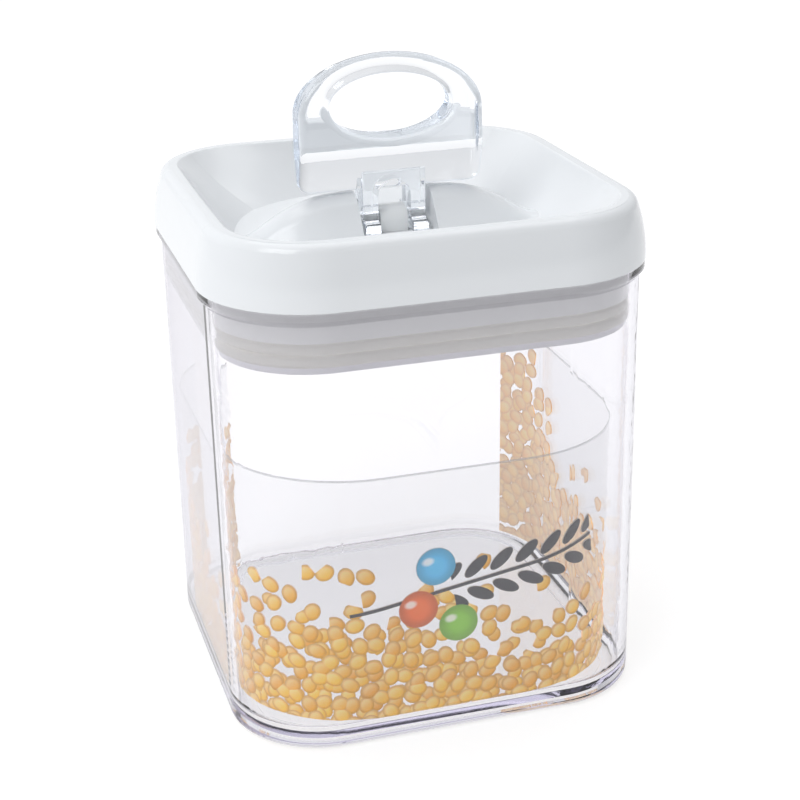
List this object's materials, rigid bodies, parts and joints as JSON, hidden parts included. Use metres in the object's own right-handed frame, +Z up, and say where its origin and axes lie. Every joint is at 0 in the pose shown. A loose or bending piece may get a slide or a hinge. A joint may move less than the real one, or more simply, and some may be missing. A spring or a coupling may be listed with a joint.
{
  "type": "storage canister with flip handle",
  "caption": "Square clear storage canister with round corners and a white dished lid; a clear ring handle folds back and its cam legs squeeze the lid's seal outward.",
  "frame": {"origin": "on the table, at the middle of the container's foot", "axes": "+Z up; +X along the hinge pin, to the right seen from the front; +Y to the back, where the handle folds"},
  "size_m": [0.143, 0.143, 0.2063],
  "materials": {
    "clear_body": "clear, polished",
    "film": "clear printed film",
    "lid_white": "white, glossy",
    "plug_white": "white, satin",
    "silicone": "soft, matt",
    "plate_plastic": "pale, satin",
    "post_white": "white, glossy",
    "screw_steel": "bright",
    "pin_white": "white, glossy",
    "clear_handle": "clear, polished"
  },
  "bodies": {
    "container": {"container_body": "clear_body", "print_film": "film"},
    "lid": {"lid_cover": "lid_white", "lid_plug": "plug_white", "seal_gasket": "silicone"},
    "plunger": {"pressure_plate": "plate_plastic", "lift_post": "post_white", "post_screw": "screw_steel"},
    "handle": {"flip_handle": "clear_handle", "hinge_pin": "pin_white"}
  },
  "joints": [
    {"name": "lid_lift", "type": "slide", "parent": "container", "child": "lid", "axis": [0, 0, 1], "range_m": [0, 0.08]},
    {"name": "plunger_lift", "type": "slide", "parent": "lid", "child": "plunger", "axis": [0, 0, 1], "range_m": [0, 0.003], "deforming": ["seal_gasket"]},
    {"name": "handle_flip", "type": "hinge", "parent": "plunger", "child": "handle", "pos_m": [0, 0, 0.1535], "axis": [-1, 0, 0], "range_deg": [0, 90]}
  ],
  "couplings": [
    {"joint": "handle_flip", "follows": "plunger_lift", "rad_per_m": 523.6}
  ]
}
